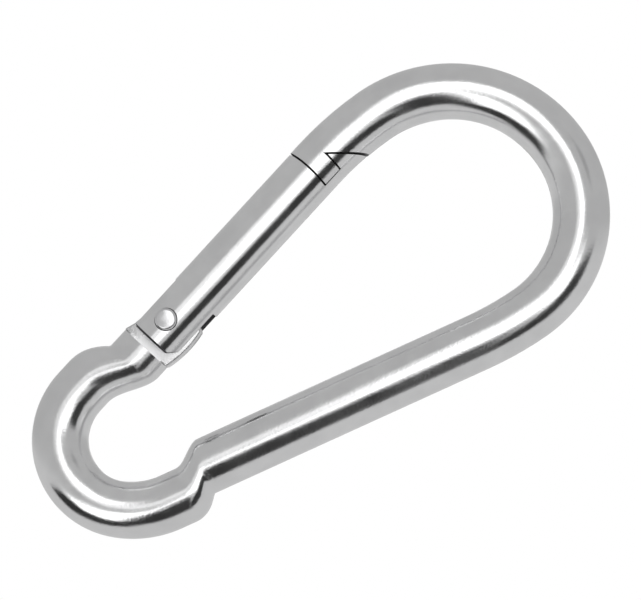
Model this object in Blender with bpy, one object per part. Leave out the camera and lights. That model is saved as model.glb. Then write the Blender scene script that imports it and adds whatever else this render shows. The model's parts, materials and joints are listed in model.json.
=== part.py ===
"""Spring snap hook, 140 mm long, bent from 12.3 mm round steel wire and zinc plated.

Five pieces: the bent wire body, the spring gate, the hinge rivet, the plunger and its coil spring.

Frame, in metres: the hook stands upright in the XZ plane, +Z up. The origin is the seat inside the
top of the bow, where the hook hangs. The gate is on the -X side, the spine on the +X side, the
small eye at the bottom. The hinge axis runs along +Y through the rivet.

The body is written as a wire bender's list of moves from the nose round to the hinge. The gate,
the tongue and the latch are drawn in the hinge frame: centred on the rivet, v across the gate
towards the inside of the hook, u along the gate towards the nose, seen from the front (-Y).
"""

import math

import bmesh
import bpy
from mathutils import Matrix, Vector

MM = 0.001

# The wire and its bends. A straight is ("straight", length); a bend is ("left" or "right",
# centreline radius, degrees), as a traveller on the front of the wire turns.
WIRE_R = 6.15 * MM
GATE_SIDE_BLEND = (72.5 * MM, 12.4)
GATE_SIDE_BOW = (28.8 * MM, 90.6)
SPINE_SIDE_BOW = (25.9 * MM, 90.0)
SPINE_SIDE_BLEND = (72.5 * MM, 10.1)
SPINE = 60.4 * MM
JOGGLE = (13.6 * MM, 31.1)
EYE_ENTRY = (19.8 * MM, 36.0)
EYE = (15.2 * MM, 149.5)
STUB_BEND = (21.0 * MM, 23.2)
STUB = 0.4 * MM
STUB_END = (12.0 * MM, 5.4)

# The hinge: where the rivet sits on the gate, and the fork that the tongue enters.
HINGE_TO_BEND = 47.5 * MM
RIVET_OFFSET = 0.7 * MM
GATE_R = 6.05 * MM
FORK_END = 5.5 * MM
FORK_CORNER_R = 7.0 * MM
SLOT_WIDTH = 4.9 * MM
SLOT_TOP = 7.7 * MM
SHOULDER = 7.6 * MM

# The tongue and its cam. The plunger's flat face rides on an involute, so it moves
# CAM_PITCH metres for each radian that the gate opens.
TONGUE_THICKNESS = 4.3 * MM
CAM_R = 4.6 * MM
CAM_PITCH = 3.0 * MM
CAM_END = math.radians(42.0)
TONGUE_BULGE = 0.6 * MM
TONGUE_ROOT_DEPTH = 1.5 * MM
TONGUE_ROOT_HALF = 4.8 * MM

# The rivet.
SHANK_R = 2.0 * MM
RIVET_HOLE_R = 2.25 * MM
HEAD_R = 2.55 * MM
HEAD_TOP = 6.6 * MM
HEAD_UNDER = 5.05 * MM
SPOT_FACE_R = 2.85 * MM
SPOT_FACE_FLOOR = 4.8 * MM

# The latch: the body's barb lies in the gate's pocket, and the gate's tooth in the body's notch.
# Both curved faces are struck from the rivet, so the gate can swing past them.
POCKET_R = 44.93 * MM
TOOTH_R = 49.6 * MM
STRIP_V = 5.5 * MM
NOTCH_V = 1.2 * MM
LATCH_GAP = 0.36 * MM

# Inside the gate.
BORE_R = 3.2 * MM
BORE_DEPTH = 33.0 * MM
DRILL_POINT = 1.9 * MM
PLUNGER_R = 3.0 * MM
PLUNGER_LENGTH = 7.2 * MM
SPIGOT_R = 1.55 * MM
SPIGOT_LENGTH = 3.2 * MM
EASED_EDGE = 0.4 * MM
SPRING_R = 2.35 * MM
SPRING_WIRE_R = 0.55 * MM
SPRING_TURNS = 10
CLOSED_TURNS = 1
COIL_PITCH_CLOSED = 1.18 * MM
SEAT_GAP = 0.2 * MM

# How finely round shapes are divided.
WIRE_SIDES = 28
BEND_STEP = 5.0
ARC_STEPS = 12
HOLE_SIDES = 24
SPRING_SIDES = 8
SPRING_STEPS = 18
OVERCUT = 10 * MM


def clear_scene():
    for item in list(bpy.data.objects):
        bpy.data.objects.remove(item, do_unlink=True)


def metal(name, colour, roughness):
    material = bpy.data.materials.new(name)
    material.use_nodes = True
    shader = material.node_tree.nodes["Principled BSDF"]
    shader.inputs["Base Color"].default_value = (*colour, 1.0)
    shader.inputs["Metallic"].default_value = 1.0
    shader.inputs["Roughness"].default_value = roughness
    return material


def finished(name, bm, material, matrix=None):
    """A mesh object from bm, with outward normals and smooth shading up to 35 degrees."""
    bmesh.ops.recalc_face_normals(bm, faces=bm.faces)
    mesh = bpy.data.meshes.new(name)
    bm.to_mesh(mesh)
    bm.free()
    if matrix is not None:
        mesh.transform(matrix)
    mesh.shade_smooth()
    mesh.set_sharp_from_angle(angle=math.radians(35))
    piece = bpy.data.objects.new(name, mesh)
    bpy.context.scene.collection.objects.link(piece)
    if material is not None:
        mesh.materials.append(material)
    return piece


def cutter(name, bm, matrix=None):
    tool = finished(name, bm, None, matrix)
    tool.hide_render = True
    tool.display_type = "WIRE"
    return tool


def combine(piece, tool, operation):
    modifier = piece.modifiers.new(tool.name, "BOOLEAN")
    modifier.operation = operation
    modifier.object = tool


# --- The wire's route -------------------------------------------------------------------------


def along(heading, distance):
    """A step in the XZ plane; heading 0 is +X and 90 degrees is +Z."""
    return Vector((math.cos(heading) * distance, 0, math.sin(heading) * distance))


def after(pose, moves):
    """Position and heading once the moves have been made."""
    place, heading = pose
    for kind, size, *turn in moves:
        if kind == "straight":
            place = place + along(heading, size)
            continue
        side = 1 if kind == "left" else -1
        centre = place + along(heading + side * math.pi / 2, size)
        heading += side * math.radians(turn[0])
        place = centre - along(heading + side * math.pi / 2, size)
    return place, heading


def round_bar(pose, moves, radius):
    """A round bar made the way it is bent: a circle extruded along each straight, spun through
    each bend, and capped at both ends."""
    bm = bmesh.new()
    place, heading = pose
    facing = Matrix.Rotation(math.pi / 2 - heading, 4, "Y")
    circle = bmesh.ops.create_circle(
        bm, segments=WIRE_SIDES, radius=radius, matrix=Matrix.Translation(place) @ facing
    )
    verts = circle["verts"]
    edges = list({edge for vert in verts for edge in vert.link_edges})
    bmesh.ops.contextual_create(bm, geom=edges)
    for kind, size, *turn in moves:
        if kind == "straight":
            grown = bmesh.ops.extrude_edge_only(bm, edges=edges)["geom"]
            moved = [item for item in grown if isinstance(item, bmesh.types.BMVert)]
            bmesh.ops.translate(bm, verts=moved, vec=along(heading, size))
        else:
            side = 1 if kind == "left" else -1
            grown = bmesh.ops.spin(
                bm,
                geom=verts + edges,
                cent=place + along(heading + side * math.pi / 2, size),
                axis=(0, 1, 0),
                angle=-side * math.radians(turn[0]),
                steps=math.ceil(turn[0] / BEND_STEP),
            )["geom_last"]
        place, heading = after((place, heading), [(kind, size, *turn)])
        verts = [item for item in grown if isinstance(item, bmesh.types.BMVert)]
        edges = [item for item in grown if isinstance(item, bmesh.types.BMEdge)]
        edges = [edge for edge in edges if all(vert in verts for vert in edge.verts)]
    bmesh.ops.contextual_create(bm, geom=edges)
    return bm


BOW_TOP = Vector((0, 0, WIRE_R))
TO_SPINE_END = [
    ("right", *SPINE_SIDE_BOW),
    ("right", *SPINE_SIDE_BLEND),
    ("straight", SPINE),
]
TO_TONGUE = [
    ("left", *JOGGLE),
    ("right", *JOGGLE),
    ("right", *EYE_ENTRY),
    ("right", *EYE),
    ("left", *STUB_BEND),
    ("straight", STUB),
    ("left", *STUB_END),
]
GATE_BEND, GATE_DOWN = after(
    (BOW_TOP, math.pi), [("left", *GATE_SIDE_BOW), ("left", *GATE_SIDE_BLEND)]
)
GATE_UP = GATE_DOWN - math.pi
GATE_LEAN = GATE_UP - math.pi / 2
INWARD = GATE_UP - math.pi / 2
HINGE = GATE_BEND + along(GATE_DOWN, HINGE_TO_BEND) - along(INWARD, RIVET_OFFSET)
HINGE_FRAME = Matrix.Translation(HINGE) @ Matrix.Rotation(-GATE_LEAN, 4, "Y")
WIRE_END = after((BOW_TOP, 0), TO_SPINE_END + TO_TONGUE)[0]
STUB_V = (HINGE_FRAME.inverted() @ WIRE_END).x


def on_gate(u):
    """The point of the gate's centreline at height u above the rivet."""
    return HINGE + along(GATE_UP, u) + along(INWARD, RIVET_OFFSET)


# --- Solids drawn in the hinge frame ----------------------------------------------------------


def arc(radius, start, end, steps=ARC_STEPS):
    """Points (v, u) on an arc about the rivet; angles from u towards v, in radians."""
    turns = [start + (end - start) * i / steps for i in range(steps + 1)]
    return [(radius * math.sin(turn), radius * math.cos(turn)) for turn in turns]


def prism(outline, half_width):
    """The outline of (v, u) points extruded to half_width each side of the hook's plane."""
    bm = bmesh.new()
    verts = [bm.verts.new((v, -half_width, u)) for v, u in outline]
    face = bm.faces.new(verts)
    grown = bmesh.ops.extrude_face_region(bm, geom=[face])["geom"]
    moved = [item for item in grown if isinstance(item, bmesh.types.BMVert)]
    bmesh.ops.translate(bm, verts=moved, vec=(0, 2 * half_width, 0))
    return bm


def turned(profile, axis, sides=HOLE_SIDES):
    """A profile of (radius, height) points spun about Y, or about the gate's centreline (Z)."""
    bm = bmesh.new()
    if axis == "Y":
        points = [(radius, height, 0) for radius, height in profile]
        centre, direction = (0, 0, 0), (0, 1, 0)
    else:
        points = [(RIVET_OFFSET + radius, 0, height) for radius, height in profile]
        centre, direction = (RIVET_OFFSET, 0, 0), (0, 0, 1)
    verts = [bm.verts.new(point) for point in points]
    edges = [bm.edges.new(pair) for pair in zip(verts, verts[1:])]
    bmesh.ops.spin(
        bm, geom=verts + edges, cent=centre, axis=direction, angle=2 * math.pi, steps=sides
    )
    bmesh.ops.remove_doubles(bm, verts=bm.verts, dist=1e-6)
    return bm


def latch_line(offset):
    """The parting line of the latch from the outside of the wire to the inside, moved by offset
    into the body's side: round the barb's end, up its inner face, back along its locking face to
    the notch's point, and out along the notch's 45 degree face."""
    low, high, inner = POCKET_R + offset, TOOTH_R - offset, STRIP_V - offset
    rise = math.sqrt(TOOTH_R**2 - NOTCH_V**2) - NOTCH_V + offset * math.sqrt(2)
    point_v = (math.sqrt(2 * high**2 - rise**2) - rise) / 2
    end_face = arc(low, -math.asin(OVERCUT / low), math.asin(inner / low))
    locking_face = arc(high, math.asin(inner / high), math.asin(point_v / high), 4)
    return end_face + locking_face + [(2 * OVERCUT, 2 * OVERCUT + rise)]


def involute(turn):
    """Point (v, u) of the cam that the plunger touches once the gate has opened by turn."""
    reach = CAM_R + CAM_PITCH * turn
    return (
        reach * math.sin(turn) + CAM_PITCH * math.cos(turn),
        reach * math.cos(turn) - CAM_PITCH * math.sin(turn),
    )


def bowed(start, end, rise):
    """Points between start and end on a parabola that stands rise proud of the chord's middle."""
    chord = Vector(end) - Vector(start)
    out = Vector((chord.y, -chord.x)).normalized() * rise
    steps = [(i + 1) / ARC_STEPS for i in range(ARC_STEPS - 1)]
    return [tuple(Vector(start) + chord * t + out * 4 * t * (1 - t)) for t in steps]


def tongue_outline():
    """The flattened end of the wire: from its root up the outer edge, round the rivet, along the
    cam, and back down the inner edge, which the flattening has pushed out a little."""
    outer, inner = STUB_V - WIRE_R, STUB_V + WIRE_R
    low, high = STUB_V - TONGUE_ROOT_HALF, STUB_V + TONGUE_ROOT_HALF
    cam = [involute(CAM_END * i / ARC_STEPS) for i in range(ARC_STEPS + 1)]
    return [
        (low, -SHOULDER - TONGUE_ROOT_DEPTH),
        (low, -SHOULDER),
        (outer, -SHOULDER),
        *arc(CAM_R, -math.pi / 2, 0),
        *cam[1:],
        *reversed(bowed((inner, -SHOULDER), cam[-1], TONGUE_BULGE)),
        (inner, -SHOULDER),
        (high, -SHOULDER),
        (high, -SHOULDER - TONGUE_ROOT_DEPTH),
    ]


# --- The pieces -------------------------------------------------------------------------------


def hook_body(material):
    """The bent wire: notched nose, bow, spine, joggled eye, stub and flattened tongue."""
    nose = POCKET_R - OVERCUT / 4
    moves = [
        ("straight", HINGE_TO_BEND - nose),
        ("right", *GATE_SIDE_BLEND),
        ("right", *GATE_SIDE_BOW),
        *TO_SPINE_END,
        *TO_TONGUE,
    ]
    body = finished("hook_body", round_bar((on_gate(nose), GATE_UP), moves, WIRE_R), material)

    notch = latch_line(LATCH_GAP / 2)
    notch += [(2 * OVERCUT, POCKET_R - OVERCUT), (-OVERCUT, POCKET_R - OVERCUT)]
    combine(body, cutter("nose_notch", prism(notch, OVERCUT), HINGE_FRAME), "DIFFERENCE")

    tongue = prism(tongue_outline(), TONGUE_THICKNESS / 2)
    combine(body, cutter("tongue_blank", tongue, HINGE_FRAME), "UNION")

    hole = turned([(0, -OVERCUT), (RIVET_HOLE_R, -OVERCUT), (RIVET_HOLE_R, OVERCUT), (0, OVERCUT)], "Y")
    combine(body, cutter("tongue_hole", hole, HINGE_FRAME), "DIFFERENCE")
    return body


def gate(material):
    """The spring gate: fork, spring bore, pocket and tooth, cut from one round bar."""
    past_bend = TOOTH_R + OVERCUT - HINGE_TO_BEND
    moves = [
        ("straight", FORK_END + HINGE_TO_BEND),
        ("right", GATE_SIDE_BLEND[0], math.degrees(past_bend / GATE_SIDE_BLEND[0])),
    ]
    bar = round_bar((on_gate(-FORK_END), GATE_UP), moves, GATE_R)
    piece = finished("gate", bar, material)

    beyond = latch_line(-LATCH_GAP / 2)
    beyond += [(2 * OVERCUT, TOOTH_R + 3 * OVERCUT), (-OVERCUT, TOOTH_R + 3 * OVERCUT)]
    combine(piece, cutter("gate_pocket", prism(beyond, OVERCUT), HINGE_FRAME), "DIFFERENCE")

    corner = arc(FORK_CORNER_R, math.pi, math.pi / 2)
    corner += [(2 * OVERCUT, 0), (2 * OVERCUT, -OVERCUT), (0, -OVERCUT)]
    combine(piece, cutter("fork_corner", prism(corner, OVERCUT), HINGE_FRAME), "DIFFERENCE")

    slot = [(-OVERCUT, -OVERCUT), (OVERCUT, -OVERCUT), (OVERCUT, SLOT_TOP), (-OVERCUT, SLOT_TOP)]
    combine(piece, cutter("fork_slot", prism(slot, SLOT_WIDTH / 2), HINGE_FRAME), "DIFFERENCE")

    bore = turned(
        [(0, -OVERCUT), (BORE_R, -OVERCUT), (BORE_R, BORE_DEPTH), (0, BORE_DEPTH + DRILL_POINT)], "Z"
    )
    combine(piece, cutter("spring_bore", bore, HINGE_FRAME), "DIFFERENCE")

    hole = turned(
        [
            (0, -OVERCUT),
            (SPOT_FACE_R, -OVERCUT),
            (SPOT_FACE_R, -SPOT_FACE_FLOOR),
            (RIVET_HOLE_R, -SPOT_FACE_FLOOR),
            (RIVET_HOLE_R, SPOT_FACE_FLOOR),
            (SPOT_FACE_R, SPOT_FACE_FLOOR),
            (SPOT_FACE_R, OVERCUT),
            (0, OVERCUT),
        ],
        "Y",
    )
    combine(piece, cutter("fork_hole", hole, HINGE_FRAME), "DIFFERENCE")
    return piece


def hinge_rivet(material):
    """A shank with a low button head at each end."""
    half = [
        (SHANK_R, HEAD_UNDER),
        (HEAD_R, HEAD_UNDER),
        (HEAD_R, HEAD_TOP - EASED_EDGE),
        (HEAD_R - EASED_EDGE, HEAD_TOP),
        (0, HEAD_TOP + EASED_EDGE / 4),
    ]
    profile = [(radius, -height) for radius, height in reversed(half)] + half
    return finished("hinge_rivet", turned(profile, "Y"), material)


def plunger(material):
    """The pin that the spring presses on the cam, with a spigot inside the spring's first turns."""
    face = CAM_R + SEAT_GAP
    shoulder = face + PLUNGER_LENGTH
    end = shoulder + SPIGOT_LENGTH
    profile = [
        (0, face),
        (PLUNGER_R - EASED_EDGE, face),
        (PLUNGER_R, face + EASED_EDGE),
        (PLUNGER_R, shoulder),
        (SPIGOT_R, shoulder),
        (SPIGOT_R, end - EASED_EDGE),
        (SPIGOT_R - EASED_EDGE, end),
        (0, end),
    ]
    return finished("plunger", turned(profile, "Z"), material)


def gate_spring(material):
    """A compression spring with one closed turn at each end."""
    low = CAM_R + SEAT_GAP + PLUNGER_LENGTH + SEAT_GAP + SPRING_WIRE_R
    high = BORE_DEPTH - SEAT_GAP - SPRING_WIRE_R
    active = SPRING_TURNS - 2 * CLOSED_TURNS
    pitch = (high - low - 2 * CLOSED_TURNS * COIL_PITCH_CLOSED) / active
    bm = bmesh.new()
    circle = bmesh.ops.create_circle(bm, segments=SPRING_SIDES, radius=SPRING_WIRE_R)
    verts = circle["verts"]
    edges = list({edge for vert in verts for edge in vert.link_edges})
    bmesh.ops.rotate(bm, verts=verts, cent=(0, 0, 0), matrix=Matrix.Rotation(math.pi / 2, 3, "X"))
    bmesh.ops.translate(bm, verts=verts, vec=(RIVET_OFFSET + SPRING_R, 0, low))
    bmesh.ops.contextual_create(bm, geom=edges)
    for turn in range(SPRING_TURNS):
        closed = turn < CLOSED_TURNS or turn >= SPRING_TURNS - CLOSED_TURNS
        grown = bmesh.ops.spin(
            bm,
            geom=verts + edges,
            cent=(RIVET_OFFSET, 0, 0),
            axis=(0, 0, 1),
            dvec=(0, 0, (COIL_PITCH_CLOSED if closed else pitch) / SPRING_STEPS),
            angle=2 * math.pi,
            steps=SPRING_STEPS,
        )["geom_last"]
        verts = [item for item in grown if isinstance(item, bmesh.types.BMVert)]
        edges = [item for item in grown if isinstance(item, bmesh.types.BMEdge)]
        edges = [edge for edge in edges if all(vert in verts for vert in edge.verts)]
    bmesh.ops.contextual_create(bm, geom=edges)
    return finished("gate_spring", bm, material)


def main():
    clear_scene()
    zinc = metal("bright_zinc", (0.80, 0.81, 0.82), 0.22)
    gate_zinc = metal("bright_zinc_gate", (0.82, 0.83, 0.84), 0.20)
    rivet_steel = metal("rivet_zinc", (0.76, 0.77, 0.78), 0.30)
    ground_steel = metal("ground_steel", (0.62, 0.62, 0.63), 0.35)
    spring_steel = metal("spring_steel", (0.42, 0.42, 0.43), 0.40)

    hinge = bpy.data.objects.new("hinge_axis", None)
    hinge.matrix_world = HINGE_FRAME
    bpy.context.scene.collection.objects.link(hinge)

    hook_body(zinc)
    swinging = gate(gate_zinc)
    swinging.parent = hinge
    swinging.matrix_parent_inverse = HINGE_FRAME.inverted()
    hinge_rivet(rivet_steel).matrix_world = HINGE_FRAME
    for inner in (plunger(ground_steel), gate_spring(spring_steel)):
        inner.parent = hinge


main()
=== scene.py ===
# %% [markdown]
# # Spring snap hook
# The real hook is one length of round steel wire, bent into a pear with a small eye at its foot,
# and a short round gate that swings on a rivet. All of it is bright zinc plate, so nearly
# everything the eye sees is a reflection. The lesson is therefore in two halves: surfaces whose
# curvature is clean enough to reflect in, and a studio with cards worth reflecting.
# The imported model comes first, because every piece takes its place from it.

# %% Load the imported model
import json

import bpy
import numpy as np
from mathutils import Matrix, Vector


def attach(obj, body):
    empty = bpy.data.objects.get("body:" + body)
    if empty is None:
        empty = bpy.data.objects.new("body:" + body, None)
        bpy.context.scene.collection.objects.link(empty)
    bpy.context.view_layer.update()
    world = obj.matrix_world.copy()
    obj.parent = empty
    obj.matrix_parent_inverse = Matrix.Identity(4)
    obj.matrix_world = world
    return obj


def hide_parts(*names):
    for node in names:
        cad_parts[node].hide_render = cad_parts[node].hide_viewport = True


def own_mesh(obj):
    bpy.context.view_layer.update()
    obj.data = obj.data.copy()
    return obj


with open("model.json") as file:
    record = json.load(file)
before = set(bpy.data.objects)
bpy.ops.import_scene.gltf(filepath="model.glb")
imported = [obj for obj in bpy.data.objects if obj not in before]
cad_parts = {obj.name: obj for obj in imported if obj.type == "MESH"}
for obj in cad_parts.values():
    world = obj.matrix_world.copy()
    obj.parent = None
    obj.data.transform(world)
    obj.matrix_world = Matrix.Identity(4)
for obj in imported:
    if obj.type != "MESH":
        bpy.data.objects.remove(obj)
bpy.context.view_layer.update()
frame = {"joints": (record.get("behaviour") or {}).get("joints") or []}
joints = {joint["name"]: joint for joint in frame["joints"]}


# %% [markdown]
# ## The hinge frame
# The gate, the latch and the hinge are all measured from the rivet. `v` runs across the gate
# towards the inside of the hook, `u` runs up the gate towards the nose. The rivet's place and
# the gate's direction are read from the joints, so they can't drift away from the moving model.

# %% Directions and places in the hook's own plane
MM = 0.001
rivet_at = np.array(joints["gate_hinge"]["pos_m"], dtype=float)[[0, 2]]
gate_up = np.array(joints["plunger_slide"]["axis"], dtype=float)[[0, 2]]
gate_up /= np.linalg.norm(gate_up)
gate_in = np.array([gate_up[1], -gate_up[0]])
GATE_HEADING = np.arctan2(gate_up[1], gate_up[0])


def from_hinge(points):
    """Turns (v, y, u) rows into (x, y, z): the rivet's place, v inwards, and u up the gate."""
    v, y, u = np.asarray(points, dtype=float).T
    plane = rivet_at + v[:, None] * gate_in + u[:, None] * gate_up
    return np.column_stack([plane[:, 0], y, plane[:, 1]])


print("gate heading in degrees:", round(float(np.degrees(GATE_HEADING)), 2))

# %% [markdown]
# ## The wire's route
# A wire bender works from a list of moves: so far straight, then so many degrees round a former
# of such a radius. Two places are different. Above the small eye the wire is set outwards in a
# press, which shifts both of its sides at the same height instead of bending them in turn, and
# leaves a sharp notch on the outside. So a third kind of move, a press set, shifts each side by a
# curve of its own.

# %% The moves, from the nose round to the hinge
WIRE_R = 6.15 * MM
GATE_R = 6.05 * MM
RIVET_OFFSET = 0.7 * MM
POCKET_R = 44.93 * MM
TOOTH_R = 49.6 * MM
NOSE_START = 42.43 * MM
HINGE_TO_BEND = 47.5 * MM
STEP = 0.8 * MM
TURN_STEP = np.radians(2.5)
SET_CURVE = 2.3


def pressed(distance, start, length):
    """The notched side of a press set, 0 to 1: 1 - (1 - t)^2.3, which leaves at a steep angle."""
    t = np.clip((distance - start) / length, 0, 1)
    return 1 - (1 - t) ** SET_CURVE


def eased(distance, start, length):
    """The smooth side of a press set, 0 to 1: 3t^2 - 2t^3, level at both ends."""
    t = np.clip((distance - start) / length, 0, 1)
    return t * t * (3 - 2 * t)


# Each set: how far it shifts the wire, over what length, and where each side's curve starts and
# how long it is.
SPINE_SET = 3.91 * MM
SPINE_SET_RUN = 9.6 * MM
SPINE_NOTCHED = (2.1 * MM, 6.1 * MM)
SPINE_SMOOTH = (0.6 * MM, 6.9 * MM)
EYE_SET = -4.41 * MM
EYE_SET_RUN = 16.875 * MM
EYE_NOTCHED = (4.9 * MM, 8.9 * MM)
EYE_SMOOTH = (2.9 * MM, 11.5 * MM)


def spine_set(distance):
    """How far the left and right sides have moved outwards, as shares of the set."""
    return pressed(distance, *SPINE_NOTCHED), eased(distance, *SPINE_SMOOTH)


def eye_set(distance):
    """The same set above the eye on the gate side, run backwards, with its notch at the top."""
    left_in_hand = EYE_SET_RUN - distance
    return 1 - pressed(left_in_hand, *EYE_NOTCHED), 1 - eased(left_in_hand, *EYE_SMOOTH)


FLANK_R = 72.5 * MM
SPINE = 60.4 * MM
NECK = 14.05 * MM
BEFORE_SET = 63.1 * MM
AFTER_SET = SPINE + NECK - BEFORE_SET - SPINE_SET_RUN
wire_moves = [
    ("straight", HINGE_TO_BEND - NOSE_START, 0),
    ("bend", FLANK_R, -12.4),
    ("bend", 28.8 * MM, -90.6),
    ("bend", 25.9 * MM, -90.0),
    ("bend", FLANK_R, -10.1),
    ("straight", BEFORE_SET, 0),
    ("set", SPINE_SET_RUN, (SPINE_SET, spine_set)),
    ("straight", AFTER_SET, 0),
    ("bend", 19.8 * MM, -36.0),
    ("bend", 15.2 * MM, -120.9),
    ("set", EYE_SET_RUN, (EYE_SET, eye_set)),
]
print("moves in the wire:", len(wire_moves))

# %% [markdown]
# ## Two sides, one section
# Each side of the wire is traced on its own, station by station, and the round section is then
# hung between the two. Where the sides run parallel this is an ordinary tube. Where the press
# has moved one side more than the other, the section turns slightly oval, as real metal does.

# %% Trace a side of the wire
def trace(pose, moves, side, radius):
    """One side of the wire as (x, z) rows: side is 1 on the traveller's left and -1 on the right.
    A straight is place + heading * t. A bend is its centre plus its radius at the turning angle.
    A set is a straight with this side's share of the shift added to its left."""
    place, heading = np.array(pose[0], dtype=float), pose[1]
    runs = []
    for kind, size, value in moves:
        ahead = np.array([np.cos(heading), np.sin(heading)])
        left = np.array([-ahead[1], ahead[0]])
        if kind == "bend":
            turn = np.radians(value)
            t = np.linspace(0, 1, int(np.ceil(abs(turn) / TURN_STEP)) + 1)[:-1]
            angle = heading + turn * t
            normal = np.column_stack([-np.sin(angle), np.cos(angle)])
            centre = place + np.sign(turn) * size * left
            runs.append(centre + (side * radius - np.sign(turn) * size) * normal)
            heading += turn
            place = centre - np.sign(turn) * size * np.array([-np.sin(heading), np.cos(heading)])
            continue
        step = STEP / 2 if kind == "set" else STEP
        t = np.linspace(0, 1, int(np.ceil(size / step)) + 1)[:-1]
        shift = np.zeros_like(t)
        end_shift = 0.0
        if kind == "set":
            shares = value[1](size * t)
            shift = value[0] * (shares[0] if side > 0 else shares[1])
            end_shift = value[0]
        runs.append(place + ahead * size * t[:, None] + left * (side * radius + shift)[:, None])
        place = place + ahead * size + left * end_shift
    last = np.array([-np.sin(heading), np.cos(heading)]) * side * radius + place
    return np.vstack(runs + [last[None]])


nose_at = rivet_at + gate_up * NOSE_START + gate_in * RIVET_OFFSET
wire_left = trace((nose_at, GATE_HEADING), wire_moves, 1, WIRE_R)
wire_right = trace((nose_at, GATE_HEADING), wire_moves, -1, WIRE_R)
print("stations along the wire:", len(wire_left))

# %% [markdown]
# ## From arrays to closed meshes
# A tube is a grid of points, one ring for each station, and its faces are pairs of neighbouring
# rows. Both ends close on a point of their own. Which way the faces turn is settled by the sign
# of the volume, so no piece can come out inside out.

# %% Mesh helpers
def piece_from(name, points, faces):
    """A mesh object from rows of points and lists of faces, turned outwards by its volume:
    the sum over faces of first corner . (second x third) is positive when they face out."""
    points = np.asarray(points, dtype=float)
    middle = points.mean(axis=0)
    thirds = np.array(
        [(face[0], face[i], face[i + 1]) for face in faces for i in range(1, len(face) - 1)]
    )
    a, b, c = (points[thirds[:, i]] - middle for i in range(3))
    if np.einsum("ij,ij->i", a, np.cross(b, c)).sum() < 0:
        faces = [face[::-1] for face in faces]
    mesh = bpy.data.meshes.new(name)
    mesh.from_pydata(points.tolist(), [], faces)
    mesh.update()
    piece = bpy.data.objects.new(name, mesh)
    bpy.context.scene.collection.objects.link(piece)
    return piece


def grid_faces(rings, sides):
    """Quads between neighbouring rings of a grid, and across the seam of each ring."""
    here = np.arange(rings - 1)[:, None] * sides
    there = here + sides
    cols = np.arange(sides)[None]
    after = (cols + 1) % sides
    quads = np.stack([here + cols, here + after, there + after, there + cols], axis=-1)
    return quads.reshape(-1, 4).tolist()


def closed_faces(rings, sides):
    """The grid's quads, and a fan at either end. The fans' middle points follow the grid's own."""
    cols = np.arange(sides)
    after = (cols + 1) % sides
    middle, top = rings * sides, (rings - 1) * sides
    start = np.column_stack([np.full(sides, middle), after, cols])
    end = np.column_stack([np.full(sides, middle + 1), top + cols, top + after])
    return grid_faces(rings, sides) + start.tolist() + end.tolist()


def tube(name, left, right, half_depth, sides=96):
    """A section hung between two traced sides: middle + half the gap * cos + depth * sin."""
    turn = np.linspace(0, 2 * np.pi, sides, endpoint=False)
    middle, half = (left + right) / 2, (left - right) / 2
    flat = middle[:, None] + half[:, None] * np.cos(turn)[None, :, None]
    depth = np.broadcast_to(half_depth * np.sin(turn), flat.shape[:2])
    rings = np.stack([flat[..., 0], depth, flat[..., 1]], axis=-1).reshape(-1, 3)
    ends = np.column_stack([middle[[0, -1], 0], [0, 0], middle[[0, -1], 1]])
    return piece_from(name, np.vstack([rings, ends]), closed_faces(len(left), sides))


wire_body = tube("wire_body", wire_left, wire_right, WIRE_R)
print("wire faces:", len(wire_body.data.polygons))

# %% [markdown]
# ## Tools that cut
# A Boolean modifier takes one closed shape from another, as a cutter does. The cutters here are
# of two kinds: a slab, which is an outline given a thickness, and a turned shape, which is a
# profile spun about an axis. The same two make the small parts. A cut leaves the tool's own
# finish on the new face.

# %% Slabs, turned shapes and the cut itself
def slab(name, outline, half_width):
    """An outline of (v, u) rows between -half_width and half_width, as one closed block."""
    outline = np.asarray(outline, dtype=float)
    count = len(outline)
    low, high = (
        np.column_stack([outline[:, 0], np.full(count, y), outline[:, 1]])
        for y in (-half_width, half_width)
    )
    faces = grid_faces(2, count) + [list(range(count))[::-1], list(range(count, 2 * count))]
    return piece_from(name, from_hinge(np.vstack([low, high])), faces)


TURNED_SIDES = 64


def turned(name, profile, along_gate, sides=TURNED_SIDES):
    """A profile of (radius, height) rows turned about the rivet's axis, or about the gate's own.
    Rows of no radius become a single point, which closes the pole."""
    profile = np.asarray(profile, dtype=float)
    ring = profile[profile[:, 0] > 1e-9]
    turn = np.linspace(0, 2 * np.pi, sides, endpoint=False)
    across = ring[:, :1] * np.cos(turn)
    deep = ring[:, :1] * np.sin(turn)
    height = np.broadcast_to(ring[:, 1:], across.shape)
    poles = profile[[0, -1], 1]
    if along_gate:
        points = np.stack([across + RIVET_OFFSET, deep, height], axis=-1)
        ends = [[RIVET_OFFSET, 0, pole] for pole in poles]
    else:
        points = np.stack([across, height, deep], axis=-1)
        ends = [[0, pole, 0] for pole in poles]
    points = from_hinge(np.vstack([points.reshape(-1, 3), ends]))
    return piece_from(name, points, closed_faces(len(ring), sides))


def carve(piece, steps):
    """Applies each (operation, tool) in turn, then throws the tools away. A tool with no finish
    of its own leaves a dark grey cut face, which is painted shade for the hollow it opens."""
    for operation, tool in steps:
        modifier = piece.modifiers.new(tool.name, "BOOLEAN")
        modifier.operation, modifier.object, modifier.solver = operation, tool, "EXACT"
        modifier.material_mode = "TRANSFER"
        if not tool.data.materials:
            tool.data.materials.append(shade_painted_cut)
    graph = bpy.context.evaluated_depsgraph_get()
    done = bpy.data.meshes.new_from_object(piece.evaluated_get(graph))
    piece.modifiers.clear()
    old, piece.data = piece.data, done
    bpy.data.meshes.remove(old)
    done.name = piece.name
    for _, tool in steps:
        bpy.data.objects.remove(tool, do_unlink=True)
    return piece


def smooth(piece, degrees=35):
    """Smooth shading that breaks at edges sharper than the angle."""
    piece.data.shade_smooth()
    piece.data.set_sharp_from_angle(angle=np.radians(degrees))
    return piece


print("sides of a turned shape:", TURNED_SIDES)

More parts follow.
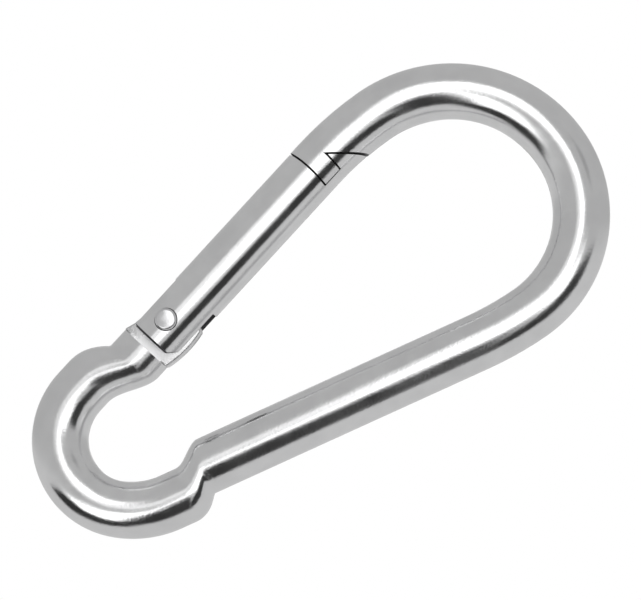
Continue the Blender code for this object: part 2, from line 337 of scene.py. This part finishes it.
# %% [markdown]
# ## Bright zinc
# Zinc plate copies what is under it. The drawn wire leaves faint lines along its length, the
# plating adds a fine even grain, and handling leaves soft patches. A mirror shows slopes of a
# degree or two, so all of these are micrometres high. The gloss itself is a plain metal shader.

# %% Node helpers
def node(tree, kind, **settings):
    """A new node with its properties set, and its sockets too where the name has a value."""
    made = tree.nodes.new(kind)
    for key, value in settings.items():
        if hasattr(made, key):
            setattr(made, key, value)
        else:
            made.inputs[key.replace("_", " ").title()].default_value = value
    return made


def maths(tree, operation, first, second=None, third=None):
    """A Math node's output; each operand is a number or another node's output."""
    made = tree.nodes.new("ShaderNodeMath")
    made.operation = operation
    for socket, value in zip(made.inputs, (first, second, third)):
        if value is None:
            continue
        if isinstance(value, bpy.types.NodeSocket):
            tree.links.new(value, socket)
        else:
            socket.default_value = value
    return made.outputs[0]


def ranged(tree, value, source, target, **settings):
    """A Map Range node's output: the value's range source, spread over the range target."""
    made = node(tree, "ShaderNodeMapRange", **settings)
    names = ("From Min", "From Max", "To Min", "To Max")
    for name, number in zip(names, (*source, *target)):
        made.inputs[name].default_value = number
    tree.links.new(value, made.inputs["Value"])
    return made.outputs[0]


print("helpers: node, maths, ranged")

# %% [markdown]
# ## One finish, many settings
# All the metals share one recipe, so it is a function: a colour, how dull it is, and the heights
# of the grain and of the draw lines. The pattern is read either from the unbent coordinates that
# are written further down, or, on the small parts, from the object's own.

# %% A plated finish
MIDDLE_OF_NOISE = (0.3, 0.7)
TONE_RANGE = (0.94, 1.03)
DULL_RANGE = (0.8, 1.25)


def plated(name, colour, roughness, grain_height, line_height, coordinates="unbent"):
    """A metal with micrometre relief: grain in spots, draw lines along, and soft patches."""
    material = bpy.data.materials.new(name)
    material.use_nodes = True
    tree = material.node_tree
    shader = tree.nodes["Principled BSDF"]
    shader.inputs["Metallic"].default_value = 1.0
    if coordinates == "unbent":
        place = node(tree, "ShaderNodeAttribute", attribute_name="unbent").outputs["Vector"]
    else:
        place = node(tree, "ShaderNodeTexCoord").outputs["Object"]
    in_mm = node(tree, "ShaderNodeVectorMath", operation="SCALE")
    tree.links.new(place, in_mm.inputs[0])
    in_mm.inputs["Scale"].default_value = 1000.0
    drawn = node(tree, "ShaderNodeMapping")
    drawn.inputs["Scale"].default_value = (0.06, 2.2, 2.2)
    tree.links.new(in_mm.outputs[0], drawn.inputs["Vector"])

    grain = node(tree, "ShaderNodeTexNoise", Scale=2.4, Detail=2.0, Roughness=0.6)
    lines = node(tree, "ShaderNodeTexNoise", Scale=1.0, Detail=3.0, Roughness=0.6)
    patches = node(tree, "ShaderNodeTexNoise", Scale=0.16, Detail=3.0, Roughness=0.55)
    tree.links.new(in_mm.outputs[0], grain.inputs["Vector"])
    tree.links.new(drawn.outputs[0], lines.inputs["Vector"])
    tree.links.new(in_mm.outputs[0], patches.inputs["Vector"])

    tone = ranged(tree, patches.outputs["Fac"], MIDDLE_OF_NOISE, TONE_RANGE)
    tint = node(tree, "ShaderNodeVectorMath", operation="SCALE")
    tint.inputs[0].default_value = colour
    tree.links.new(tone, tint.inputs["Scale"])
    tree.links.new(tint.outputs[0], shader.inputs["Base Color"])

    dull_range = [roughness * share for share in DULL_RANGE]
    dullness = ranged(tree, patches.outputs["Fac"], MIDDLE_OF_NOISE, dull_range)
    tree.links.new(dullness, shader.inputs["Roughness"])

    grain_bump = node(tree, "ShaderNodeBump", Strength=1.0, Distance=grain_height)
    line_bump = node(tree, "ShaderNodeBump", Strength=1.0, Distance=line_height)
    tree.links.new(grain.outputs["Fac"], grain_bump.inputs["Height"])
    tree.links.new(lines.outputs["Fac"], line_bump.inputs["Height"])
    tree.links.new(grain_bump.outputs[0], line_bump.inputs["Normal"])
    tree.links.new(line_bump.outputs[0], shader.inputs["Normal"])
    return material


body_zinc = plated("bright_zinc_wire", (0.85, 0.85, 0.855), 0.15, 0.017 * MM, 0.010 * MM)
hammered_zinc = plated("hammered_zinc_tongue", (0.80, 0.80, 0.805), 0.27, 0.050 * MM, 0.020 * MM)
gate_zinc = plated("bright_zinc_gate", (0.86, 0.86, 0.865), 0.14, 0.010 * MM, 0.007 * MM)
rivet_zinc = plated(
    "bright_zinc_rivet", (0.80, 0.80, 0.81), 0.24, 0.012 * MM, 0.004 * MM, "object"
)
ground_steel = plated(
    "ground_steel_pin", (0.60, 0.60, 0.61), 0.34, 0.008 * MM, 0.012 * MM, "object"
)
spring_steel = plated(
    "oiled_spring_wire", (0.40, 0.40, 0.41), 0.38, 0.010 * MM, 0.008 * MM, "object"
)
rubbed_strip = plated("rubbed_strip", (0.68, 0.68, 0.685), 0.30, 0.020 * MM, 0.020 * MM)
# The real hook's cut faces are zinc too; this dark grey is painted shade for crevices and hollows.
shade_painted_cut = plated("shade_painted_cut_face", (0.16, 0.16, 0.165), 0.55, 0.020 * MM, 0.020 * MM)
wire_body.data.materials.append(body_zinc)
print("finishes:", sorted(material.name for material in bpy.data.materials if material.use_nodes))

# %% [markdown]
# ## The latch
# The nose ends in a barb, and the gate in a pocket that closes over it. Their parting line is
# struck from the rivet, so the gate can swing past: round the barb's end, up its inner face, back
# along the locking face, and out at 45 degrees. Body and gate are cut with the same line, moved
# half the gap each way.

# %% The latch line and the tools that cut it
STRIP_V = 5.5 * MM
NOTCH_V = 1.2 * MM
LATCH_GAP = 0.44 * MM
STRIP_GAP = 0.12 * MM
OVERCUT = 10 * MM
ARC_ROWS = 48
LOCKING_ROWS = 16


def arc(radius, start, end, steps=ARC_ROWS):
    """(v, u) rows on an arc about the rivet: radius * (sin, cos) of the angle from u to v."""
    turn = np.linspace(start, end, steps + 1)
    return np.column_stack([radius * np.sin(turn), radius * np.cos(turn)])


def latch_line(offset):
    """The parting line from outside to inside, moved by offset into the body's side. Along the
    strip, where the closed gate rests on the nose, it moves less."""
    low, high = POCKET_R + offset, TOOTH_R - offset
    inner = STRIP_V - offset * STRIP_GAP / LATCH_GAP
    rise = np.sqrt(TOOTH_R**2 - NOTCH_V**2) - NOTCH_V + offset * np.sqrt(2)
    point_v = (np.sqrt(2 * high**2 - rise**2) - rise) / 2
    end_face = arc(low, -np.arcsin(OVERCUT / low), np.arcsin(inner / low))
    locking_face = arc(high, np.arcsin(inner / high), np.arcsin(point_v / high), LOCKING_ROWS)
    return np.vstack([end_face, locking_face, [[2 * OVERCUT, 2 * OVERCUT + rise]]])


def latch_outline(offset, back):
    """The latch line closed round the side to be cut away, out to the height back."""
    return np.vstack([latch_line(offset), [[2 * OVERCUT, back], [-OVERCUT, back]]])


notch_outline = latch_outline(LATCH_GAP / 2, POCKET_R - OVERCUT)
beyond_outline = latch_outline(-LATCH_GAP / 2, TOOTH_R + 3 * OVERCUT)


def latch_tool(name, outline):
    """A latch slab whose narrow strip is rubbed bright by the other side; the rest is painted
    shade, a dark grey for the crevice of the latch.
    """
    tool = slab(name, outline, OVERCUT)
    tool.data.materials.append(shade_painted_cut)
    tool.data.materials.append(rubbed_strip)
    tool.data.polygons[ARC_ROWS].material_index = 1
    return tool


print("latch rows:", len(notch_outline), len(beyond_outline))

# %% [markdown]
# ## The tongue
# The wire's other end is hammered flat and drilled for the rivet. Its top is a cam: the sprung
# plunger rides on it and pushes the gate shut. The cam is an involute, the curve a string's end
# draws as it unwinds, because a flat plunger then moves by the same amount for each degree. The
# blank is an outline with its edges rounded by a Bevel modifier, joined to the wire.

# %% Flatten the end into a tongue and cut the nose
TONGUE_HALF = 2.15 * MM
CAM_R = 4.6 * MM
CAM_PITCH = 3.0 * MM
CAM_END = np.radians(42.0)
STUB_V = 0.204 * MM
SHOULDER = 7.6 * MM
ROOT_DEPTH = 1.5 * MM
ROOT_HALF = 4.8 * MM
TONGUE_BULGE = 0.6 * MM
EDGE_ROUND = 0.5 * MM
RIVET_HOLE_R = 2.25 * MM


def cam(turn):
    """(v, u) rows of the involute: reach * (sin, cos) + pitch * (cos, -sin) of the gate's turn."""
    reach = CAM_R + CAM_PITCH * turn
    across = reach * np.sin(turn) + CAM_PITCH * np.cos(turn)
    return np.column_stack([across, reach * np.cos(turn) - CAM_PITCH * np.sin(turn)])


def bowed(start, end, rise, steps=24):
    """(v, u) rows between two points on a parabola that stands proud of the chord's middle."""
    start, chord = np.array(start), np.array(end) - np.array(start)
    out = np.array([chord[1], -chord[0]]) / np.linalg.norm(chord) * rise
    t = np.linspace(0, 1, steps + 1)[1:-1, None]
    return start + chord * t + out * 4 * t * (1 - t)


# The tongue's outer side keeps behind the closed fork.
FORK_COVER = [[-5.2 * MM, -5.3 * MM], [-CAM_R, -1.0 * MM]]
cam_rows = cam(np.linspace(0, CAM_END, 36))
inner_foot = np.array([STUB_V + WIRE_R, -SHOULDER])
tongue_outline = np.vstack(
    [
        [STUB_V - ROOT_HALF, -SHOULDER - ROOT_DEPTH],
        [STUB_V - ROOT_HALF, -SHOULDER],
        [STUB_V - WIRE_R, -SHOULDER],
        FORK_COVER,
        arc(CAM_R, -np.pi / 2, 0),
        cam_rows[1:],
        bowed(inner_foot, cam_rows[-1], TONGUE_BULGE)[::-1],
        inner_foot,
        [STUB_V + ROOT_HALF, -SHOULDER],
        [STUB_V + ROOT_HALF, -SHOULDER - ROOT_DEPTH],
    ]
)
tongue = slab("tongue_blank", tongue_outline, TONGUE_HALF)
edge_round = tongue.modifiers.new("rounded_edges", "BEVEL")
edge_round.width, edge_round.segments, edge_round.limit_method = EDGE_ROUND, 3, "ANGLE"
edge_round.angle_limit = np.radians(60)
carve(tongue, [])
tongue.data.materials.append(hammered_zinc)

through = [(0, -OVERCUT), (RIVET_HOLE_R, -OVERCUT), (RIVET_HOLE_R, OVERCUT), (0, OVERCUT)]
carve(
    wire_body,
    [
        ("DIFFERENCE", latch_tool("nose_notch", notch_outline)),
        ("UNION", tongue),
        ("DIFFERENCE", turned("tongue_hole", through, False)),
    ],
)
smooth(wire_body)
print("wire body faces:", len(wire_body.data.polygons))

# %% [markdown]
# ## The gate
# The gate is a turned bar, slotted into a fork at its foot and bored up the middle for the
# spring. It keeps the wire's curve at its top, so that the closed hook looks like one piece.

# %% Cut the gate from a bar
FORK_END = 5.5 * MM
FORK_CORNER_R = 7.0 * MM
SLOT_HALF = 2.45 * MM
SLOT_TOP = 7.7 * MM
BORE_R = 3.2 * MM
BORE_DEPTH = 33.0 * MM
DRILL_POINT = 1.9 * MM
SPOT_FACE_R = 2.55 * MM
SPOT_FACE_FLOOR = 4.8 * MM
SAW_ALLOWANCE = 1.0 * MM
FORK_CHAMFER = 0.45 * MM
FOOT_SIDES = 61  # not the bore's count, so that no two edges of the cutters coincide

past_bend = TOOTH_R + OVERCUT - HINGE_TO_BEND
gate_moves = [
    ("straight", FORK_END + SAW_ALLOWANCE + HINGE_TO_BEND, 0),
    ("bend", FLANK_R, -np.degrees(past_bend / FLANK_R)),
]
gate_foot = rivet_at - gate_up * (FORK_END + SAW_ALLOWANCE) + gate_in * RIVET_OFFSET
gate_left = trace((gate_foot, GATE_HEADING), gate_moves, 1, GATE_R)
gate_right = trace((gate_foot, GATE_HEADING), gate_moves, -1, GATE_R)
gate_bar = tube("gate_bar", gate_left, gate_right, GATE_R)
gate_bar.data.materials.append(gate_zinc)

corner = np.vstack(
    [arc(FORK_CORNER_R, np.pi, np.pi / 2), [2 * OVERCUT, 0], [2 * OVERCUT, -OVERCUT], [0, -OVERCUT]]
)
foot = [
    (0, -OVERCUT),
    (GATE_R + SAW_ALLOWANCE, -OVERCUT),
    (GATE_R + SAW_ALLOWANCE, -FORK_END + FORK_CHAMFER + SAW_ALLOWANCE),
    (GATE_R - FORK_CHAMFER, -FORK_END),
    (0, -FORK_END),
]
slot = [(-OVERCUT, -OVERCUT), (OVERCUT, -OVERCUT), (OVERCUT, SLOT_TOP), (-OVERCUT, SLOT_TOP)]
bore = [(0, -OVERCUT), (BORE_R, -OVERCUT), (BORE_R, BORE_DEPTH), (0, BORE_DEPTH + DRILL_POINT)]
fork_hole = [
    (0, -OVERCUT),
    (SPOT_FACE_R, -OVERCUT),
    (SPOT_FACE_R, -SPOT_FACE_FLOOR),
    (RIVET_HOLE_R, -SPOT_FACE_FLOOR),
    (RIVET_HOLE_R, SPOT_FACE_FLOOR),
    (SPOT_FACE_R, SPOT_FACE_FLOOR),
    (SPOT_FACE_R, OVERCUT),
    (0, OVERCUT),
]
carve(
    gate_bar,
    [
        ("DIFFERENCE", latch_tool("gate_pocket", beyond_outline)),
        ("DIFFERENCE", turned("fork_foot", foot, True, FOOT_SIDES)),
        ("DIFFERENCE", slab("fork_corner", corner, OVERCUT)),
        ("DIFFERENCE", slab("fork_slot", slot, SLOT_HALF)),
        ("DIFFERENCE", turned("spring_bore", bore, True)),
        ("DIFFERENCE", turned("fork_hole", fork_hole, False)),
    ],
)
smooth(gate_bar)
print("gate faces:", len(gate_bar.data.polygons))

# %% [markdown]
# ## Rivet, plunger and spring
# The rivet's heads are low buttons, each in a spot face. Inside the gate a hardened pin sits on
# the cam, and a coil presses on it. All three are small turned or wound parts, so each is one
# profile turned about its axis, or one circle carried along a helix.

# %% Turn the rivet and the plunger
SHANK_R = 2.0 * MM
HEAD_R = 2.42 * MM
HEAD_EDGE = 0.65 * MM
HEAD_TOP = 6.6 * MM
HEAD_UNDER = 5.05 * MM
DOME_RISE = 0.13 * MM
HEAD_SHOULDER = HEAD_TOP + 0.1 * MM - DOME_RISE
PLUNGER_R = 3.0 * MM
PLUNGER_LENGTH = 7.2 * MM
SPIGOT_R = 1.55 * MM
SPIGOT_LENGTH = 3.2 * MM
SEAT_GAP = 0.2 * MM
EASED_EDGE = 0.4 * MM


def rounded(corner_r, corner_h, radius, steps=8, up=1):
    """(radius, height) rows of a quarter round that ends on the corner's two sides."""
    turn = np.linspace(0, np.pi / 2, steps)
    height = corner_h - up * radius + up * radius * np.sin(turn)
    return np.column_stack([corner_r - radius + radius * np.cos(turn), height])


DOME_R = HEAD_R - HEAD_EDGE
crown = np.linspace(DOME_R, 0, 9)[1:]
dome = np.column_stack([crown, HEAD_SHOULDER + DOME_RISE * (1 - (crown / DOME_R) ** 2)])
half_rivet = np.vstack(
    [
        [(SHANK_R, HEAD_UNDER), (HEAD_R, HEAD_UNDER)],
        rounded(HEAD_R, HEAD_SHOULDER, HEAD_EDGE),
        dome,
    ]
)
rivet_profile = np.vstack([half_rivet[::-1] * [1, -1], half_rivet])
rivet = smooth(turned("rivet", rivet_profile, False))
rivet.data.materials.append(rivet_zinc)

face = CAM_R + SEAT_GAP
shoulder_at = face + PLUNGER_LENGTH
pin_end = shoulder_at + SPIGOT_LENGTH
pin_profile = np.vstack(
    [
        [(0, face)],
        rounded(PLUNGER_R, face, EASED_EDGE, up=-1)[::-1],
        [(PLUNGER_R, shoulder_at), (SPIGOT_R, shoulder_at)],
        rounded(SPIGOT_R, pin_end, EASED_EDGE),
        [(0, pin_end)],
    ]
)
plunger_pin = smooth(turned("plunger_pin", pin_profile, True))
plunger_pin.data.materials.append(ground_steel)
print("rivet and pin faces:", len(rivet.data.polygons), len(plunger_pin.data.polygons))

# %% Wind the spring
COIL_R = 2.35 * MM
COIL_WIRE_R = 0.55 * MM
COIL_TURNS = 10
CLOSED_PITCH = 1.18 * MM
coil_low = shoulder_at + SEAT_GAP + COIL_WIRE_R
coil_high = BORE_DEPTH - SEAT_GAP - COIL_WIRE_R


def coil(name, per_turn=48, sides=16):
    """Centre: coil radius * (cos, sin) of the winding angle, and a height that climbs slowly in
    the closed first and last turns. The wire's circle is carried along it on the radial and the
    upright direction."""
    turn = np.linspace(0, COIL_TURNS, COIL_TURNS * per_turn + 1)
    open_pitch = (coil_high - coil_low - 2 * CLOSED_PITCH) / (COIL_TURNS - 2)
    climbs = np.cumsum([0, CLOSED_PITCH, open_pitch * (COIL_TURNS - 2), CLOSED_PITCH])
    height = coil_low + np.interp(turn, [0, 1, COIL_TURNS - 1, COIL_TURNS], climbs)
    angle = 2 * np.pi * turn
    level = np.zeros_like(angle)
    out = np.column_stack([np.cos(angle), np.sin(angle), level])
    centre = out * COIL_R + np.column_stack([level, level, height])
    lap = np.linspace(0, 2 * np.pi, sides, endpoint=False)
    rings = centre[:, None] + COIL_WIRE_R * (
        out[:, None] * np.cos(lap)[None, :, None] + np.array([0, 0, 1]) * np.sin(lap)[None, :, None]
    )
    points = np.vstack([rings.reshape(-1, 3), centre[[0, -1]]]) + [RIVET_OFFSET, 0, 0]
    return piece_from(name, from_hinge(points), closed_faces(len(turn), sides))


gate_coil = smooth(coil("gate_coil"))
gate_coil.data.materials.append(spring_steel)
print("coil faces:", len(gate_coil.data.polygons))

# %% [markdown]
# ## Unbent coordinates
# The draw lines of the wire follow it round every bend, and so does the fine grain of the plate.
# Each point therefore gets the place it had before the wire was bent: how far along, how far
# across, how deep. It is measured from the nearest station of the middle line, with the stretch
# of the bend taken out.

# %% Write the unbent attribute
def unbend(piece, left, right):
    """Rows of (along, across, depth): along is the nearest station's distance plus the step from
    it on the tangent, divided by the bend's stretch; across is the step on the normal."""
    middle = (left + right) / 2
    tangent = np.gradient(middle, axis=0)
    spacing = np.linalg.norm(np.diff(middle, axis=0), axis=1)
    run = np.concatenate([[0], np.cumsum(spacing)])
    tangent /= np.linalg.norm(tangent, axis=1)[:, None]
    heading = np.unwrap(np.arctan2(tangent[:, 1], tangent[:, 0]))
    curve = np.gradient(heading, run)
    mesh = piece.data
    points = np.empty(len(mesh.vertices) * 3)
    mesh.vertices.foreach_get("co", points)
    points = points.reshape(-1, 3)
    flat = points[:, [0, 2]]
    nearest = np.concatenate(
        [
            ((part[:, None] - middle[None]) ** 2).sum(axis=-1).argmin(axis=1)
            for part in np.array_split(flat, 24)
        ]
    )
    step = flat - middle[nearest]
    ahead = tangent[nearest]
    across = step[:, 1] * ahead[:, 0] - step[:, 0] * ahead[:, 1]
    stretch = np.clip(1 - across * curve[nearest], 0.3, 3)
    along = run[nearest] + (step * ahead).sum(axis=1) / stretch
    rows = np.column_stack([along, across, points[:, 1]])
    layer = mesh.attributes.new("unbent", "FLOAT_VECTOR", "POINT")
    layer.data.foreach_set("vector", rows.astype(np.float32).ravel())
    return run[-1]


print("wire length in mm:", round(unbend(wire_body, wire_left, wire_right) * 1000, 1))
print("gate length in mm:", round(unbend(gate_bar, gate_left, gate_right) * 1000, 1))

# %% [markdown]
# ## The camera
# The hook is seen almost square on, from slightly to its spine side, and rolled so that it lies
# across the picture. A long lens keeps its two sides parallel.

# %% Place the camera
VIEW_SIDE = np.radians(8.0)
VIEW_DISTANCE = 0.55
PICTURE_WIDTH = 0.1387
SENSOR_WIDTH = 36.0
ROLL_LEVEL, ROLL_UPRIGHT = 0.568, 0.823
aim = np.array([-2.15, 0.0, -55.22]) * MM
towards_viewer = np.array([np.sin(VIEW_SIDE), -np.cos(VIEW_SIDE), 0.0])
level = np.array([np.cos(VIEW_SIDE), np.sin(VIEW_SIDE), 0.0])
upright = np.array([0.0, 0.0, 1.0])
picture_right = ROLL_LEVEL * level + ROLL_UPRIGHT * upright
picture_up = -ROLL_UPRIGHT * level + ROLL_LEVEL * upright

lens = bpy.data.cameras.new("camera")
lens.sensor_width = SENSOR_WIDTH
lens.lens = SENSOR_WIDTH * VIEW_DISTANCE / PICTURE_WIDTH
camera = bpy.data.objects.new("camera", lens)
bpy.context.scene.collection.objects.link(camera)
pose = Matrix.Identity(4)
for column, direction in enumerate((picture_right, picture_up, towards_viewer)):
    pose.col[column][:3] = Vector(direction / np.linalg.norm(direction))
pose.col[3][:3] = Vector(aim + VIEW_DISTANCE * towards_viewer)
camera.matrix_world = pose
bpy.context.scene.camera = camera
bpy.context.scene.view_settings.view_transform = "Standard"
print("lens in mm:", round(lens.lens, 1))

# %% [markdown]
# ## The studio
# A polished part is lit by what stands round it. Here that is a white tent with soft grey walls,
# black cards that draw the dark lines along the wire, and white cards between them. The tent is
# painted on the world, in degrees measured from the line between hook and viewer, so a card is
# simply a polygon with a soft edge.

# %% Paint the tent
world = bpy.data.worlds.new("tent")
bpy.context.scene.world = world
world.use_nodes = True
sky = world.node_tree
sky.nodes.clear()
direction = node(sky, "ShaderNodeTexCoord").outputs["Generated"]


def dot(tree, vector, fixed):
    """How far a direction goes along a fixed one: the sum of the products of their parts."""
    made = node(tree, "ShaderNodeVectorMath", operation="DOT_PRODUCT")
    tree.links.new(vector, made.inputs[0])
    made.inputs[1].default_value = tuple(float(value) for value in fixed)
    return made.outputs["Value"]


facing = dot(sky, direction, towards_viewer)
sideways = dot(sky, direction, picture_right)
upwards = dot(sky, direction, picture_up)
NEARLY_ONE = 0.99999
clear_of_ends = maths(sky, "MINIMUM", maths(sky, "MAXIMUM", facing, -NEARLY_ONE), NEARLY_ONE)
angle = maths(sky, "DEGREES", maths(sky, "ARCCOSINE", clear_of_ends))
squares = [maths(sky, "MULTIPLY", part, part) for part in (sideways, upwards)]
span = maths(sky, "SQRT", maths(sky, "ADD", *squares))


def chart_of(from_centre):
    """Degrees right and up of a centre: the angle from it, shared out by the sideways and upward
    parts of the direction."""
    spread = maths(sky, "DIVIDE", from_centre, maths(sky, "MAXIMUM", span, 0.0001))
    made = node(sky, "ShaderNodeCombineXYZ")
    sky.links.new(maths(sky, "MULTIPLY", sideways, spread), made.inputs[0])
    sky.links.new(maths(sky, "MULTIPLY", upwards, spread), made.inputs[1])
    return made.outputs[0]


front_chart = chart_of(angle)
back_chart = chart_of(maths(sky, "SUBTRACT", 180.0, angle))


def ramp(value, low, high, dark, bright):
    """A soft step from dark to bright as the value goes from low to high."""
    return ranged(sky, value, (low, high), (dark, bright), interpolation_type="SMOOTHSTEP")


LOW_WALL, HIGH_WALL = 0.59, 0.478
RIM_GLOW = 0.82
height = node(sky, "ShaderNodeSeparateXYZ")
sky.links.new(front_chart, height.inputs[0])
walls = ramp(height.outputs[1], -25, 10, LOW_WALL, HIGH_WALL)
walls = maths(sky, "MAXIMUM", walls, ramp(angle, 138, 166, 0.0, RIM_GLOW))
print("nodes in the walls:", len(sky.nodes))

# %% [markdown]
# ## The cards
# A card is a list of corners, in degrees to the right and up. The dark line that runs along the
# whole wire is one black card seen again and again, so a card's place is found by asking which
# way the metal faces where the line should be. Those marked back stand behind the hook, and show
# only at the very edges of the metal.

# %% Hang the cards
SOFT_EDGE = 4.5


def card(outline, chart, soft=SOFT_EDGE):
    """How much of a direction a card fills, 0 to 1: the least of the soft steps over its sides.
    A side's step is the distance from it, along its normal, in degrees."""
    corners = np.asarray(outline, dtype=float)
    centre = corners.mean(axis=0)
    cover = None
    for start, end in zip(corners, np.roll(corners, -1, axis=0)):
        normal = np.array([start[1] - end[1], end[0] - start[0]])
        normal /= np.linalg.norm(normal)
        if np.dot(centre - start, normal) < 0:
            normal = -normal
        reach = maths(sky, "SUBTRACT", dot(sky, chart, (*normal, 0)), float(np.dot(start, normal)))
        side = ramp(reach, -soft / 2, soft / 2, 0.0, 1.0)
        cover = side if cover is None else maths(sky, "MINIMUM", cover, side)
    return cover


def lay(under, outline, brightness, chart):
    """The tent with one more card on it."""
    cover = card(outline, chart)
    return maths(sky, "MULTIPLY_ADD", cover, maths(sky, "SUBTRACT", brightness, under), under)


BLACK = 0.035
black_cards = [
    [(-9, -42), (-56, -26), (-82, -38), (-62, -60), (-32, -67), (-10, -64)],
    [(-4, -8), (12, -16), (22, -54), (-22, -60)],
    [(29, -3), (63, -5), (55, -26), (41, -39), (22, -52), (16, -30), (20, -18)],
]
GREY_PATCH = [(34, 27), (45, 24), (50, 38), (38, 42)]
white_cards = [
    ([(-7, -4), (6, -4), (9, 37), (-15, 37)], 1.65),
    ([(0, 9), (0, -6), (27, -11), (27, 4)], 1.6),
    ([(-3, -1), (-46, -22), (-40, -34), (-19, -44), (-7, -14)], 1.6),
    ([(-2, 4), (-24, 12), (-16, 24)], 0.95),
    (GREY_PATCH, 0.33),
]
back_cards = [
    ([(-13, -12), (-4, -13), (-3, 13), (-12, 11)], BLACK),
    ([(4, -13), (12, -11), (12, 11), (5, 13)], BLACK),
    ([(-3, -10), (4, -10), (4, 10), (-3, 10)], 1.6),
]
tent = walls
for outline in black_cards:
    tent = lay(tent, outline, BLACK, front_chart)
for outline, brightness in white_cards:
    tent = lay(tent, outline, brightness, front_chart)
for outline, brightness in back_cards:
    tent = lay(tent, outline, brightness, back_chart)

# To the lens and to anything matt, the tent is plain white.
rays = node(sky, "ShaderNodeLightPath")
plain = maths(sky, "MAXIMUM", rays.outputs["Is Camera Ray"], rays.outputs["Is Diffuse Ray"])
glow = maths(sky, "MULTIPLY_ADD", plain, maths(sky, "SUBTRACT", 1.0, tent), tent)
background = node(sky, "ShaderNodeBackground")
output = node(sky, "ShaderNodeOutputWorld")
sky.links.new(glow, background.inputs["Color"])
sky.links.new(background.outputs[0], output.inputs["Surface"])
print("nodes in the tent:", len(sky.nodes))

# %% [markdown]
# ## The floor
# The hook hangs from its bow in the viewer's hand, with a small pale table below it. The table
# doesn't show in the metal, because a real tent keeps it out of sight.

# %% Lay the floor
TABLE_R = 0.2
TABLE_Z = -0.19
BOARD = 2 * MM


def disc(name, radius, drop, sides=96):
    """A thin pale disc: two circles joined by an edge wall, each closed on its centre."""
    turn = np.linspace(0, 2 * np.pi, sides, endpoint=False)
    circle = np.column_stack([radius * np.cos(turn), radius * np.sin(turn)])
    rows = [np.column_stack([circle, np.full(sides, z)]) for z in (drop - BOARD, drop)]
    points = np.vstack(rows + [[[0, 0, drop - BOARD], [0, 0, drop]]])
    return piece_from(name, points, closed_faces(2, sides))


floor = disc("floor", TABLE_R, TABLE_Z)
pale = bpy.data.materials.new("pale_board")
pale.use_nodes = True
pale_shader = pale.node_tree.nodes["Principled BSDF"]
pale_shader.inputs["Base Color"].default_value = (0.86, 0.86, 0.86, 1.0)
pale_shader.inputs["Roughness"].default_value = 0.8
floor.data.materials.append(pale)
floor.visible_glossy = False
print("floor at z in mm:", TABLE_Z * 1000)

# %% [markdown]
# ## Which piece moves with what
# Each new piece stands for one imported node, rides on that node's body, and hides that node.
# The coil is squeezed between the plunger and the bore's end as the gate opens; here it only
# gets a mesh of its own.

# %% Ride and replace
places = [
    (wire_body, "hook", "hook_body", "body_zinc"),
    (gate_bar, "gate", "gate", "gate_zinc"),
    (rivet, "hook", "hinge_rivet", "rivet_zinc"),
    (plunger_pin, "plunger", "plunger", "plunger_steel"),
    (gate_coil, "gate", "gate_spring", "spring_steel"),
]
for piece, body, packed, slot_name in places:
    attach(piece, body)
    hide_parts(packed)

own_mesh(gate_coil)
